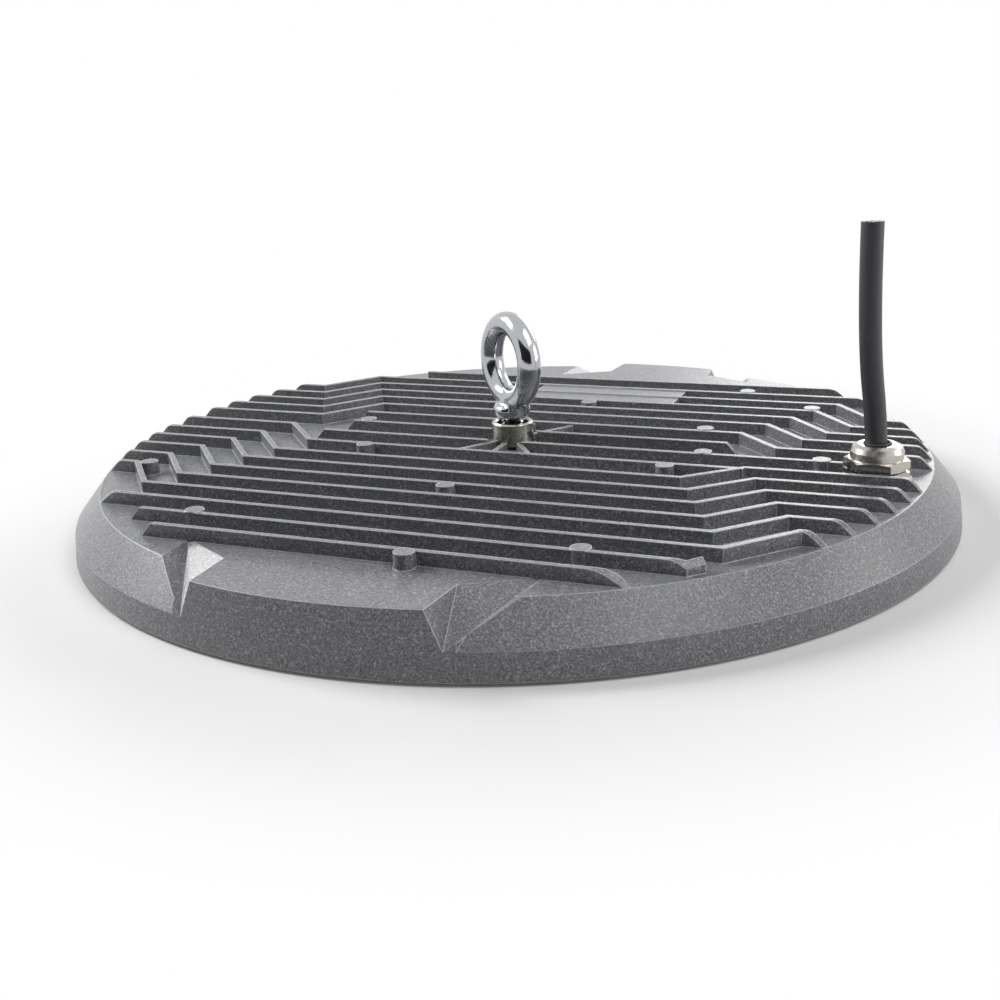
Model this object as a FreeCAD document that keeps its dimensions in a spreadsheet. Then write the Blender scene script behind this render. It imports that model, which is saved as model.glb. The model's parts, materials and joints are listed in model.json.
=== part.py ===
import FreeCAD, Part
import Sketcher
import math
import os
import re

# High bay light: a die-cast finned disc that hangs from an eye bolt, with a cable gland on its
# back and an LED board behind a round lens.  Millimetres, +Z up, origin at the centre of the
# plane that the rim stands on.  The fins run along X.

DIMENSIONS = {
    # casting: rim, shoulder and floor between the fins
    "rim_radius": 165.0,
    "rim_height": 9.6,
    "rim_draft": 0.9,
    "rim_chamfer": 0.8,
    "shoulder_width": 9.6,
    "floor_height": 21.2,
    "wall": 3.0,
    # casting: cavity and lens seat
    "rim_wall": 7.5,
    "seat_depth": 7.2,
    "seat_width": 9.0,
    "cavity_straight": 3.0,
    "ceiling_taper": 11.5,
    # casting: fins
    "fin_height": 4.6,
    "fin_width": 2.0,
    "fin_pitch": 12.85,
    "hub_pitch": 15.2,
    "hub_gap": 16.5,
    "fin_end_run": 4.2,
    "fin_margin": 0.4,
    # casting: zigzag of the fins, left and right of the hub, front and back
    "left_front_start": 82.9,
    "left_front_run": 20.0,
    "left_front_jog": 21.8,
    "left_front_step": 5.6,
    "left_back_start": 76.4,
    "left_back_run": 17.0,
    "left_back_jog": 23.6,
    "left_back_step": 7.1,
    "right_front_start": 75.8,
    "right_front_run": 18.6,
    "right_front_jog": 16.8,
    "right_front_step": 5.7,
    "right_front_spread": 0.7,
    "right_back_start": 91.0,
    "right_back_run": 16.6,
    "right_back_jog": 19.4,
    "right_back_step": 7.2,
    "right_back_spread": 1.3,
    "fin_hook": 4.2,
    "last_fin_shift": 2.4,
    # casting: pads that carry the deck out to the rim, and the valleys beside them
    "pad_depth": 37.1,
    "pad_neck_half": 38.4,
    "pad_flare": 21.0,
    "pad_throat": 11.6,
    "pad_foot": 3.6,
    "pad_valley": 0.9,
    "back_pad_half": 24.2,
    "back_pad_shift": 19.0,
    "back_pad_depth": 33.0,
    # casting: ejector bosses, hub, platform
    "boss_radius": 3.2,
    "hub_margin": 2.0,
    "hub_rise": 0.7,
    "hub_pocket_margin": 3.0,
    "rib_width": 1.6,
    "rib_height": 3.7,
    "platform_start": -20.0,
    "platform_length": 66.0,
    "platform_drop": 0.5,
    # eye bolt and its socket
    "bolt_radius": 4.0,
    "eye_hole_radius": 10.0,
    "eye_bar_radius": 4.45,
    "eye_turn": -42.0,
    "eye_flange_step": 3.5,
    "eye_flange_height": 5.7,
    "eye_gap": 1.5,
    "socket_wall": 4.0,
    "socket_height": 9.0,
    "socket_lip": 1.8,
    "socket_recess_depth": 5.5,
    "seal_thickness": 0.8,
    "hub_washer_thickness": 1.6,
    "hub_nut_height": 4.0,
    "hub_nut_wall": 2.5,
    # cable gland
    "gland_inset": 12.0,
    "gland_side": -9.0,
    "gland_thread_radius": 8.0,
    "gland_hex_wall": 1.5,
    "gland_hex_height": 2.0,
    "gland_stub": 8.0,
    "gland_neck_step": 1.0,
    "gland_neck_height": 3.2,
    "insert_wall": 1.5,
    "dome_hex_height": 3.6,
    "dome_step": 0.6,
    "dome_height": 4.9,
    "dome_round": 2.4,
    "dome_hole_clearance": 0.8,
    "lock_nut_height": 3.0,
    "lock_nut_wall": 1.5,
    "gland_room": 0.5,
    # cord and its three wires
    "cord_radius": 3.7,
    "wire_radius": 0.9,
    "wire_gap": 0.6,
    "wire_bend": 2.6,
    # light engine
    "pad_thickness": 0.5,
    "board_thickness": 1.6,
    "board_margin": 2.0,
    "board_bore_margin": 6.5,
    "board_notch_margin": 5.0,
    "board_screw_inset": 6.5,
    "inner_screw_margin": 22.0,
    "led_size": 3.0,
    "led_height": 0.7,
    "cover_radius": 46.0,
    "cover_height": 4.2,
    "cover_wall": 1.2,
    "cover_bore_margin": 3.0,
    "chip_length": 5.0,
    "chip_width": 6.0,
    "chip_height": 1.6,
    "rectifier_length": 8.0,
    "rectifier_width": 6.5,
    "rectifier_height": 2.4,
    "varistor_radius": 3.6,
    "varistor_height": 2.8,
    "varistor_side": 8.5,
    "fuse_radius": 1.4,
    "fuse_length": 9.0,
    "capacitor_length": 9.0,
    "capacitor_width": 4.0,
    "capacitor_height": 2.8,
    "block_length": 12.0,
    "block_width": 12.0,
    "block_height": 5.0,
    "block_gap": 2.0,
    "block_entry_depth": 5.0,
    # lens stack
    "gasket_thickness": 1.2,
    "gasket_width": 3.0,
    "gasket_inset": 0.6,
    "lens_thickness": 2.0,
    "frame_thickness": 1.8,
    "frame_width": 8.7,
    "lens_screw_inset": 2.9,
    # screws
    "screw_radius": 1.5,
    "screw_head_overlap": 1.25,
    "screw_head_height": 1.6,
    "fit": 0.05,
    "gap": 0.3,
}

# sizes that follow from the dimensions, so that what fits together stays together
FOLLOWING = {
    "seat_radius": "rim_radius - rim_wall",
    "cavity_radius": "seat_radius - seat_width",
    "ceiling_radius": "cavity_radius - ceiling_taper",
    "floor_radius": "rim_radius - rim_draft - shoulder_width",
    "pad_start": "rim_radius - pad_depth",
    "back_pad_start": "rim_radius - back_pad_depth",
    "hub_radius": "socket_radius + hub_margin",
    "hub_pocket_radius": "socket_radius + hub_pocket_margin",
    "eye_flange_radius": "bolt_radius + eye_flange_step",
    "socket_radius": "bolt_radius + socket_wall",
    "socket_recess_radius": "socket_radius - socket_lip",
    "hub_nut_flats": "2 * (bolt_radius + hub_nut_wall)",
    "gland_reach": "cavity_radius - gland_inset",
    "gland_flats": "2 * (gland_thread_radius + gland_hex_wall)",
    "gland_corner": "gland_flats / 2 / cos(30 deg)",
    "gland_neck_radius": "gland_thread_radius - gland_neck_step",
    "gland_bore_radius": "cord_radius + insert_wall",
    "dome_radius": "gland_flats / 2 - dome_step",
    "dome_hole_radius": "cord_radius + dome_hole_clearance",
    "lock_nut_flats": "2 * (gland_thread_radius + lock_nut_wall)",
    "lock_nut_corner": "lock_nut_flats / 2 / cos(30 deg)",
    "board_radius": "ceiling_radius - board_margin",
    "board_bore_radius": "hub_nut_flats / 2 + board_bore_margin",
    "board_notch_radius": "lock_nut_flats / 2 + board_notch_margin",
    "board_screw_circle": "board_radius - board_screw_inset",
    "board_inner_circle": "cover_radius + inner_screw_margin",
    "cover_bore_radius": "board_bore_radius + cover_bore_margin",
    "driver_circle": "(cover_bore_radius + cover_radius) / 2",
    "lens_screw_circle": "seat_radius - lens_screw_inset",
    "screw_head_radius": "screw_radius + screw_head_overlap",
    "wire_spacing": "2 * wire_radius + wire_gap",
    "ceiling": "floor_height - wall",
    "fin_top": "floor_height + fin_height",
    "hub_top": "floor_height + hub_rise",
    "socket_base": "hub_top + seal_thickness",
    "socket_top": "socket_base + socket_height",
    "eye_seat": "socket_top + eye_gap",
    "eye_centre": "eye_seat + eye_flange_height + eye_hole_radius + eye_bar_radius * 1.35",
    "hub_washer_base": "ceiling - hub_washer_thickness",
    "hub_nut_base": "hub_washer_base - hub_nut_height",
    "gland_seat": "hub_top + seal_thickness",
    "gland_neck": "gland_seat + gland_hex_height",
    "dome_base": "gland_neck + gap",
    "dome_shoulder": "dome_base + dome_hex_height",
    "dome_top": "dome_shoulder + dome_height",
    "board_top": "ceiling - pad_thickness",
    "board_face": "board_top - board_thickness",
    "lens_top": "seat_depth - gasket_thickness",
    "lens_base": "lens_top - lens_thickness",
    "frame_base": "lens_base - frame_thickness",
}

FRONT_FINS = 10
BACK_FINS = 8
LENS_SCREWS = 12
OUTER_BOARD_SCREWS = 8
INNER_BOARD_SCREWS = 4
DRIVER_CHIPS = (55.0, 90.0, 125.0, 235.0, 270.0, 305.0)
LED_RINGS = (("cover_radius + 10", 20), ("cover_radius + 34", 32), ("board_radius - 35", 40),
             ("board_radius - 16", 52))

# ends of the fins that stop short of the round edge of the field, by number and side; True
# where the end slopes down to the floor
FIN_ENDS = {
    (1, -1): (("-83", True), ("gland_reach", False)),
    (1, 1): (("-78", True), ("85.8", True)),
    (2, -1): (None, ("94", False)),
    (2, 1): (("-80", True), None),
    (9, -1): (("-91", True), ("97", False)),
    (10, -1): (("-76.6", True), ("84.6", True)),
    (8, 1): (("-86", False), None),
}

# places of the ejector bosses: in from the floor's edge, and direction
BOSSES = ((16.66, -150.44), (22.54, -120.41), (21.86, -82.16), (22.6, -59.97), (86.87, -88.31),
          (97.17, -153.26), (84.6, 170.78), (93.84, 79.26), (82.13, -21.57), (78.15, -4.66),
          (36.29, -3.39), (80.2, 21.14), (36.39, 52.26), (30.74, 33.33))

# directions of the hub's ribs
HUB_RIBS = (55, 90, 125, 235, 270, 305)

# route of the cord: sideways from the gland's axis and up from the gland's seat
CORD_ROUTE = ((0.0, 0.0, -6.3), (0.0, 0.0, 12.3), (-4.8, -1.9, 48.7), (-5.0, -2.0, 84.6))

doc = FreeCAD.newDocument("high_bay_light")
sheet = doc.addObject("Spreadsheet::Sheet", "Dimensions")
for row, (alias, size) in enumerate(DIMENSIONS.items(), start=1):
    sheet.set(f"A{row}", alias)
    sheet.set(f"B{row}", str(size))
    sheet.setAlias(f"B{row}", alias)
doc.recompute()

WORD = re.compile(r"[a-z_]+")
PARTS = []


def written_out(formula):
    """The formula with each following size replaced by what it follows from."""
    def replace(match):
        word = match.group()
        return f"({written_out(FOLLOWING[word])})" if word in FOLLOWING else word
    return WORD.sub(replace, formula)


def linked(formula):
    """The formula as other objects write it, with each alias led by the sheet's name."""
    return WORD.sub(lambda m: "Dimensions." + m.group() if m.group() in DIMENSIONS else m.group(),
                    written_out(formula))


def size(formula):
    """The formula's value, worked out by the sheet."""
    return float(sheet.evalExpression(written_out(formula)))


def bind(thing, prop, formula):
    thing.setExpression(prop, linked(formula))


def shape_of(thing):
    doc.recompute()
    return thing.Shape


def origin_plane(body, role):
    for feature in body.Origin.OriginFeatures:
        if feature.Role == role:
            return feature
    raise ValueError(f"{body.Label} has no {role}")


def new_body(name):
    body = doc.addObject("PartDesign::Body", name)
    body.Label = name
    return body


def new_sketch(body, name, role):
    sketch = body.newObject("Sketcher::SketchObject", name)
    sketch.AttachmentSupport = [(origin_plane(body, role), "")]
    sketch.MapMode = "FlatFace"
    return sketch


def hold_point(sketch, line, end, x, y):
    """Dimension one end of a line from the sketch's origin and bind it to the sheet."""
    for kind, formula in (("DistanceX", x), ("DistanceY", y)):
        index = sketch.addConstraint(Sketcher.Constraint(kind, -1, 1, line, end, size(formula)))
        sketch.setExpression(f"Constraints[{index}]", linked(formula))


def draw_outline(sketch, points):
    """Closed outline through points that are pairs of formulas."""
    corners = [FreeCAD.Vector(size(x), size(y), 0) for x, y in points]
    first = sketch.GeometryCount
    count = len(corners)
    for i in range(count):
        sketch.addGeometry(Part.LineSegment(corners[i], corners[(i + 1) % count]), False)
    for i in range(count):
        following = first + (i + 1) % count
        sketch.addConstraint(Sketcher.Constraint("Coincident", first + i, 2, following, 1))
    for i, (x, y) in enumerate(points):
        hold_point(sketch, first + i, 1, x, y)


def turned(name, points):
    """Body turned about Z from half-section points, each a radius and a height."""
    body = new_body(name)
    sketch = new_sketch(body, name + "_section", "XZ_Plane")
    draw_outline(sketch, points)
    revolution = body.newObject("PartDesign::Revolution", name + "_turn")
    revolution.Profile = sketch
    revolution.ReferenceAxis = (sketch, ["V_Axis"])
    revolution.Angle = 360.0
    body.Tip = revolution
    return body


def ring(name, inner, outer, base, height):
    return turned(name, ((inner, base), (outer, base), (outer, f"{base} + {height}"),
                         (inner, f"{base} + {height}")))


def cylinder(name, radius, base, height, x="0", y="0"):
    thing = doc.addObject("Part::Cylinder", name)
    bind(thing, "Radius", radius)
    bind(thing, "Height", height)
    bind(thing, "Placement.Base.x", x)
    bind(thing, "Placement.Base.y", y)
    bind(thing, "Placement.Base.z", base)
    return thing


def box(name, length, width, height, x, y, z):
    thing = doc.addObject("Part::Box", name)
    for prop, formula in (("Length", length), ("Width", width), ("Height", height),
                          ("Placement.Base.x", x), ("Placement.Base.y", y),
                          ("Placement.Base.z", z)):
        bind(thing, prop, formula)
    return thing


def hexagon(name, flats, base, height, x="0", y="0"):
    thing = doc.addObject("Part::Prism", name)
    thing.Polygon = 6
    bind(thing, "Circumradius", f"{flats} / 2 / cos(30 deg)")
    bind(thing, "Height", height)
    bind(thing, "Placement.Base.x", x)
    bind(thing, "Placement.Base.y", y)
    bind(thing, "Placement.Base.z", base)
    return thing


def fused(name, things):
    thing = doc.addObject("Part::MultiFuse", name)
    thing.Shapes = things
    return thing


def common(name, things):
    thing = doc.addObject("Part::MultiCommon", name)
    thing.Shapes = things
    return thing


def cut(name, base, tool):
    thing = doc.addObject("Part::Cut", name)
    thing.Base = base
    thing.Tool = tool
    return thing


def moved(thing, x="0", y="0"):
    bind(thing, "Placement.Base.x", x)
    bind(thing, "Placement.Base.y", y)
    return thing


def keep(thing, name):
    """Make this object the sub-part called name."""
    thing.Label = name
    PARTS.append((name, thing))
    return thing


def compound(name, things):
    group = doc.addObject("Part::Compound", name)
    group.Links = things
    return group


def circle_places(radius, count, start=0.0):
    """Places on a circle, each as a pair of formulas."""
    places = []
    for i in range(count):
        angle = start + 360.0 * i / count
        places.append((f"({radius}) * cos({angle:.3f} deg)", f"({radius}) * sin({angle:.3f} deg)"))
    return places


# ---------------------------------------------------------------- casting

def fin_offset(number, side):
    """Distance of a fin from the hub's centre line, counted outwards from 1."""
    if number <= 3:
        return size(f"hub_gap / 2 + {number - 1} * hub_pitch")
    offset = size(f"hub_gap / 2 + 2 * hub_pitch + {number - 3} * fin_pitch")
    return offset + (size("last_fin_shift") if (number, side) == (BACK_FINS, 1) else 0)


def zigzag(number, side):
    """Centre line of one fin from left to right; side is -1 in front of the hub, 1 behind it."""
    place = "front" if side < 0 else "back"
    y = side * fin_offset(number, side)
    far = size("rim_radius")
    left_first, left_last = (2, 7) if side < 0 else (3, 7)
    right_first, right_last = (3, 8) if side < 0 else (2, 6)
    steps = number - 3
    left_end, right_end = FIN_ENDS.get((number, side), (None, None))
    points = []
    if left_first <= number <= left_last:
        bend = -size(f"left_{place}_start + {steps} * left_{place}_step")
        end = bend - size(f"left_{place}_run")
        inner = y - side * size(f"left_{place}_jog")
        points += [(-far, inner), (end, inner), (bend, y)]
    else:
        points.append((size(left_end[0]) if left_end else -far, y))
    if right_first <= number <= right_last:
        bend = size(f"right_{place}_start + {steps} * right_{place}_step")
        end = bend + size(f"right_{place}_run")
        inner = y - side * size(f"right_{place}_jog + {steps} * right_{place}_spread")
        points += [(bend, y), (end, inner), (far, inner)]
    else:
        points.append((size(right_end[0]) if right_end else far, y))
    if (number, side) == (9, -1):
        hook = size("fin_hook")
        points.append((points[-1][0] + hook, y + hook))
    return points


def thickened(points, width):
    """Outline of a strip of this width about a centre line, mitred at its bends."""
    vectors = [FreeCAD.Vector(x, y, 0) for x, y in points]
    left, right = [], []
    last = len(vectors) - 1
    for i, point in enumerate(vectors):
        before = vectors[i] - vectors[i - 1] if i > 0 else vectors[1] - vectors[0]
        after = vectors[i + 1] - vectors[i] if i < last else before
        before = FreeCAD.Vector(before).normalize()
        after = FreeCAD.Vector(after).normalize()
        middle = (before + after).normalize()
        normal = FreeCAD.Vector(-middle.y, middle.x, 0)
        reach = width / 2 / max(0.3, before.dot(middle))
        left.append(point + normal * reach)
        right.append(point - normal * reach)
    return left + right[::-1]


def fin(number, side):
    """One zigzag fin as an extruded strip, with its short ends sloped."""
    name = f"fin_{'front' if side < 0 else 'back'}_{number}"
    sketch = doc.addObject("Sketcher::SketchObject", name + "_outline")
    corners = thickened(zigzag(number, side), size("fin_width"))
    count = len(corners)
    for i in range(count):
        sketch.addGeometry(Part.LineSegment(corners[i], corners[(i + 1) % count]), False)
    bind(sketch, "Placement.Base.z", "floor_height - wall / 2")
    strip = doc.addObject("Part::Extrusion", name + "_strip")
    strip.Base = sketch
    strip.DirMode = "Normal"
    strip.Solid = True
    bind(strip, "LengthFwd", "fin_height + wall / 2")
    for hand, end in zip((-1, 1), FIN_ENDS.get((number, side), (None, None))):
        if end and end[1]:
            strip = cut(f"{name}_end_{hand + 1}", strip,
                        end_slope(f"{name}_slope_{hand + 1}", hand, size(end[0]),
                                  side * fin_offset(number, side)))
    return strip


def end_slope(name, hand, x, y):
    """Leaning box that slopes the end of a fin down to the floor at x."""
    block = doc.addObject("Part::Box", name)
    bind(block, "Length", "fin_height * 4")
    bind(block, "Width", "fin_width * 2")
    bind(block, "Height", "fin_height * 4")
    lean = math.degrees(math.atan(size("fin_end_run / fin_height")))
    turn = FreeCAD.Rotation(FreeCAD.Vector(0, 0, 1), 90 - 90 * hand).multiply(
        FreeCAD.Rotation(FreeCAD.Vector(0, 1, 0), -lean))
    corner = turn.multVec(FreeCAD.Vector(0, -size("fin_width"), 0))
    block.Placement = FreeCAD.Placement(
        FreeCAD.Vector(x, y, size("floor_height")) + corner, turn)
    return block


def fin_envelope():
    """Round solid that trims the fin ends to a slope with a rounded top."""
    edge = "floor_radius - fin_margin"
    return turned("fin_envelope", (
        ("0", "floor_height - wall"), (edge, "floor_height - wall"), (edge, "floor_height"),
        (f"{edge} - fin_end_run * 0.62", "floor_height + fin_height * 0.62"),
        (f"{edge} - fin_end_run * 0.86", "floor_height + fin_height * 0.83"),
        (f"{edge} - fin_end_run * 1.08", "floor_height + fin_height * 0.95"),
        (f"{edge} - fin_end_run * 1.36", "fin_top"), ("0", "fin_top")))


def ejector_bosses():
    """Round bosses that stand against the fins."""
    bosses = []
    for number, (inset, angle) in enumerate(BOSSES, start=1):
        x, y = circle_places(f"floor_radius - {inset}", 1, angle)[0]
        cone = doc.addObject("Part::Cone", f"ejector_boss_{number}")
        bind(cone, "Radius1", "boss_radius * 1.06")
        bind(cone, "Radius2", "boss_radius")
        bind(cone, "Height", "fin_height + wall / 2 + 0.3")
        moved(cone, x, y)
        bind(cone, "Placement.Base.z", "floor_height - wall / 2")
        bosses.append(cone)
    return bosses


def hub_ribs():
    """Short ribs that tie the hub to the second fins."""
    ribs = []
    for number, angle in enumerate(HUB_RIBS, start=1):
        rib = doc.addObject("Part::Box", f"hub_rib_{number}")
        bind(rib, "Length", f"(hub_gap / 2 + hub_pitch) / {abs(math.sin(math.radians(angle)))}")
        bind(rib, "Width", "rib_width")
        bind(rib, "Height", "rib_height + wall / 2")
        turn = FreeCAD.Rotation(FreeCAD.Vector(0, 0, 1), angle)
        start = turn.multVec(FreeCAD.Vector(0, -size("rib_width") / 2, 0))
        start.z = size("floor_height - wall / 2")
        rib.Placement = FreeCAD.Placement(start, turn)
        ribs.append(rib)
    return ribs


def half_space(name, corners, beyond):
    """Large box with one face on the plane through three corners, on the side of beyond."""
    first, second, third = corners
    normal = (second - first).cross(third - first).normalize()
    if normal.dot(beyond - first) < 0:
        normal = normal * -1
    reach = size("rim_radius")
    block = doc.addObject("Part::Box", name)
    block.Length = block.Width = 2 * reach
    block.Height = reach
    turn = FreeCAD.Rotation(FreeCAD.Vector(0, 0, 1), normal)
    block.Placement = FreeCAD.Placement(
        first + turn.multVec(FreeCAD.Vector(-reach, -reach, 0)), turn)
    return block


def pad_valley(name, side, hand, half, shift, start):
    """Cutter for the faceted valley at one end of a pad; hand is 1 to the right, -1 to the left."""
    rim = size("rim_radius - rim_draft")
    edge = size("floor_radius")
    floor = size("floor_height")

    def corner(x, depth, z):
        return FreeCAD.Vector(shift + hand * x, side * depth, z)

    def round_corner(x, radius, z):
        across = shift + hand * x
        return FreeCAD.Vector(across, side * math.sqrt(radius ** 2 - across ** 2), z)

    flare = half + size("pad_flare")
    root = corner(flare, start, floor)
    brow = round_corner(flare - size("pad_valley"), edge, floor)
    foot = round_corner(half + size("pad_foot"), rim, size("rim_height"))
    neck = corner(half, start + size("pad_throat"), floor)
    lip = round_corner(half - 1.4, rim, floor)
    above = corner(flare, start, 10 * floor)
    outside = corner(10 * half, start, floor)
    return common(name, [half_space(name + "_brow", (root, brow, foot), above),
                         half_space(name + "_ramp", (root, foot, neck), above),
                         half_space(name + "_wall", (neck, foot, lip), outside)])


def pad(name, side, half, shift, start):
    """Pad that carries the deck out to the rim's wall, and its two valley cutters."""
    blank = doc.addObject("Part::Wedge", name + "_blank")
    for prop, formula in (
            ("Xmin", f"0 - {half} - pad_flare"), ("Xmax", f"{half} + pad_flare"),
            ("X2min", f"0 - {half} - pad_foot"), ("X2max", f"{half} + pad_foot"),
            ("Ymin", start), ("Ymax", "rim_radius"),
            ("Zmin", "rim_height / 2"), ("Z2min", "rim_height / 2"),
            ("Zmax", "floor_height"), ("Z2max", "floor_height")):
        bind(blank, prop, formula)
    if side < 0:
        blank.Placement.Rotation = FreeCAD.Rotation(FreeCAD.Vector(0, 0, 1), 180)
    bind(blank, "Placement.Base.x", shift)
    wall = turned(name + "_wall", (
        ("0", "rim_height / 2"), ("rim_radius - rim_draft / 2", "rim_height / 2"),
        ("rim_radius - rim_draft * floor_height / rim_height", "floor_height"),
        ("0", "floor_height")))
    valleys = [pad_valley(f"{name}_valley_{hand + 1}", side, hand, size(half), size(shift),
                          size(start)) for hand in (-1, 1)]
    return common(name, [blank, wall]), valleys


def housing():
    """Die-cast body: disc with rim, shoulder, fins, pads, bosses, hub and cavity."""
    rim_top = "rim_radius - rim_draft"
    disc = turned("casting_disc", (
        ("0", "0"), ("rim_radius - rim_chamfer", "0"), ("rim_radius", "rim_chamfer"),
        (rim_top, "rim_height"), ("floor_radius", "floor_height"), ("0", "floor_height")))
    front_pad, front_valleys = pad("front_pad", -1, "pad_neck_half", "0", "pad_start")
    back_pad, back_valleys = pad("back_pad", 1, "back_pad_half", "back_pad_shift",
                                 "back_pad_start")
    shell = cut("casting_shell", fused("casting_outside", [disc, front_pad, back_pad]),
                fused("pad_valleys", front_valleys + back_valleys))
    strips = [fin(number, side) for side, count in ((-1, FRONT_FINS), (1, BACK_FINS))
              for number in range(1, count + 1)]
    pocket = cylinder("hub_pocket", "hub_pocket_radius", "floor_height - wall", "rim_radius")
    fins = cut("fin_field", common("fins_trimmed", [fused("fin_strips", strips), fin_envelope()]),
               pocket)
    front = f"{fin_offset(5, 1)} - fin_width / 2"
    platform = box("platform", "platform_length",
                   f"{fin_offset(7, 1) - fin_offset(5, 1)} + fin_width",
                   "fin_height + wall / 2 - platform_drop", "platform_start", front,
                   "floor_height - wall / 2")
    hub = cylinder("hub_boss", "hub_radius", "floor_height - wall / 2", "hub_rise + wall / 2")
    gland_boss = at_gland(cylinder("gland_boss", "gland_corner + 0.8",
                                   "floor_height - wall / 2", "hub_rise + wall / 2"))
    solid = fused("casting_solid", [shell, fins, platform, hub, gland_boss]
                  + ejector_bosses() + hub_ribs())
    cavity = turned("casting_cavity", (
        ("0", "0 - 1"), ("seat_radius", "0 - 1"), ("seat_radius", "seat_depth"),
        ("cavity_radius", "seat_depth"), ("cavity_radius", "seat_depth + cavity_straight"),
        ("ceiling_radius", "ceiling"), ("0", "ceiling")))
    gland_room = cylinder("gland_room", "lock_nut_corner + gland_room",
                          "seat_depth + cavity_straight / 2",
                          "ceiling - seat_depth - cavity_straight / 2")
    holes = [cavity, at_gland(gland_room),
             cylinder("hub_hole", "bolt_radius + gap", "0", "rim_radius"),
             cylinder("hub_clear", "socket_radius + gap", "hub_top", "rim_radius"),
             at_gland(cylinder("gland_hole", "gland_thread_radius + fit", "0", "rim_radius")),
             at_gland(cylinder("gland_clear", "gland_corner + gap", "hub_top", "rim_radius"))]
    for number, (x, y) in enumerate(circle_places("lens_screw_circle", LENS_SCREWS, 15.0)):
        holes.append(cylinder(f"lens_screw_hole_{number}", "screw_radius + fit", "seat_depth / 2",
                              "seat_depth / 2 + 5", x, y))
    for number, (x, y) in enumerate(board_screw_places()):
        holes.append(cylinder(f"board_screw_hole_{number}", "screw_radius + fit",
                              "ceiling - 1", "1 + wall * 2 / 3", x, y))
    keep(cut("heat_sink_casting", solid, fused("casting_holes", holes)), "heat_sink_housing")


# ---------------------------------------------------------------- eye bolt and hub

def eye_bolt():
    """Forged eye bolt: threaded shank, round flange and ring."""
    foot = "hub_nut_base - 1.1"
    stem = turned("eye_bolt_stem", (
        ("0", foot), ("bolt_radius - 0.6", foot), ("bolt_radius", f"{foot} + 0.6"),
        ("bolt_radius", "eye_seat"), ("eye_flange_radius - 1.4", "eye_seat"),
        ("eye_flange_radius - 0.4", "eye_seat + 0.5"),
        ("eye_flange_radius", "eye_seat + 1.5"),
        ("eye_flange_radius", "eye_seat + eye_flange_height - 1.6"),
        ("eye_flange_radius - 0.6", "eye_seat + eye_flange_height - 0.6"),
        ("eye_flange_radius - 2", "eye_seat + eye_flange_height"),
        ("eye_bar_radius", "eye_seat + eye_flange_height + eye_bar_radius * 0.7"),
        ("0", "eye_seat + eye_flange_height + eye_bar_radius * 0.9")))
    torus = doc.addObject("Part::Torus", "eye_bolt_ring")
    bind(torus, "Radius1", "eye_hole_radius + eye_bar_radius")
    bind(torus, "Radius2", "eye_bar_radius")
    upright = FreeCAD.Rotation(FreeCAD.Vector(1, 0, 0), 90)
    turn = FreeCAD.Rotation(FreeCAD.Vector(0, 0, 1), size("eye_turn"))
    torus.Placement = FreeCAD.Placement(FreeCAD.Vector(0, 0, size("eye_centre")),
                                        turn.multiply(upright))
    keep(fused("eye_bolt_forging", [stem, torus]), "eye_bolt")


def eye_bolt_socket():
    """Turned steel socket that the eye bolt screws into."""
    keep(turned("socket_turning", (
        ("bolt_radius + fit", "socket_base"), ("socket_radius - 0.4", "socket_base"),
        ("socket_radius", "socket_base + 0.4"), ("socket_radius", "socket_top - 0.5"),
        ("socket_radius - 0.5", "socket_top"), ("socket_recess_radius + 0.5", "socket_top"),
        ("socket_recess_radius", "socket_top - 0.6"),
        ("socket_recess_radius", "socket_top - socket_recess_depth"),
        ("bolt_radius + 1.2", "socket_top - socket_recess_depth - 0.8"),
        ("bolt_radius + fit", "socket_top - socket_recess_depth - 0.8"))), "eye_bolt_socket")
    keep(ring("socket_seal_ring", "bolt_radius + gap", "socket_radius - gap", "hub_top",
              "seal_thickness"), "socket_seal")


def hub_fixings():
    """Washer and thin nut that clamp the eye bolt inside the cavity."""
    keep(ring("hub_washer_ring", "bolt_radius + gap", "bolt_radius * 2", "hub_washer_base",
              "hub_washer_thickness"), "hub_washer")
    nut = hexagon("hub_nut_blank", "hub_nut_flats", "hub_nut_base", "hub_nut_height")
    bore = cylinder("hub_nut_bore", "bolt_radius", "hub_nut_base - 1", "hub_nut_height + 2")
    keep(cut("hub_nut_cut", nut, bore), "hub_nut")


# ---------------------------------------------------------------- cable gland

def at_gland(thing):
    return moved(thing, "gland_reach", "gland_side")


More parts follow.
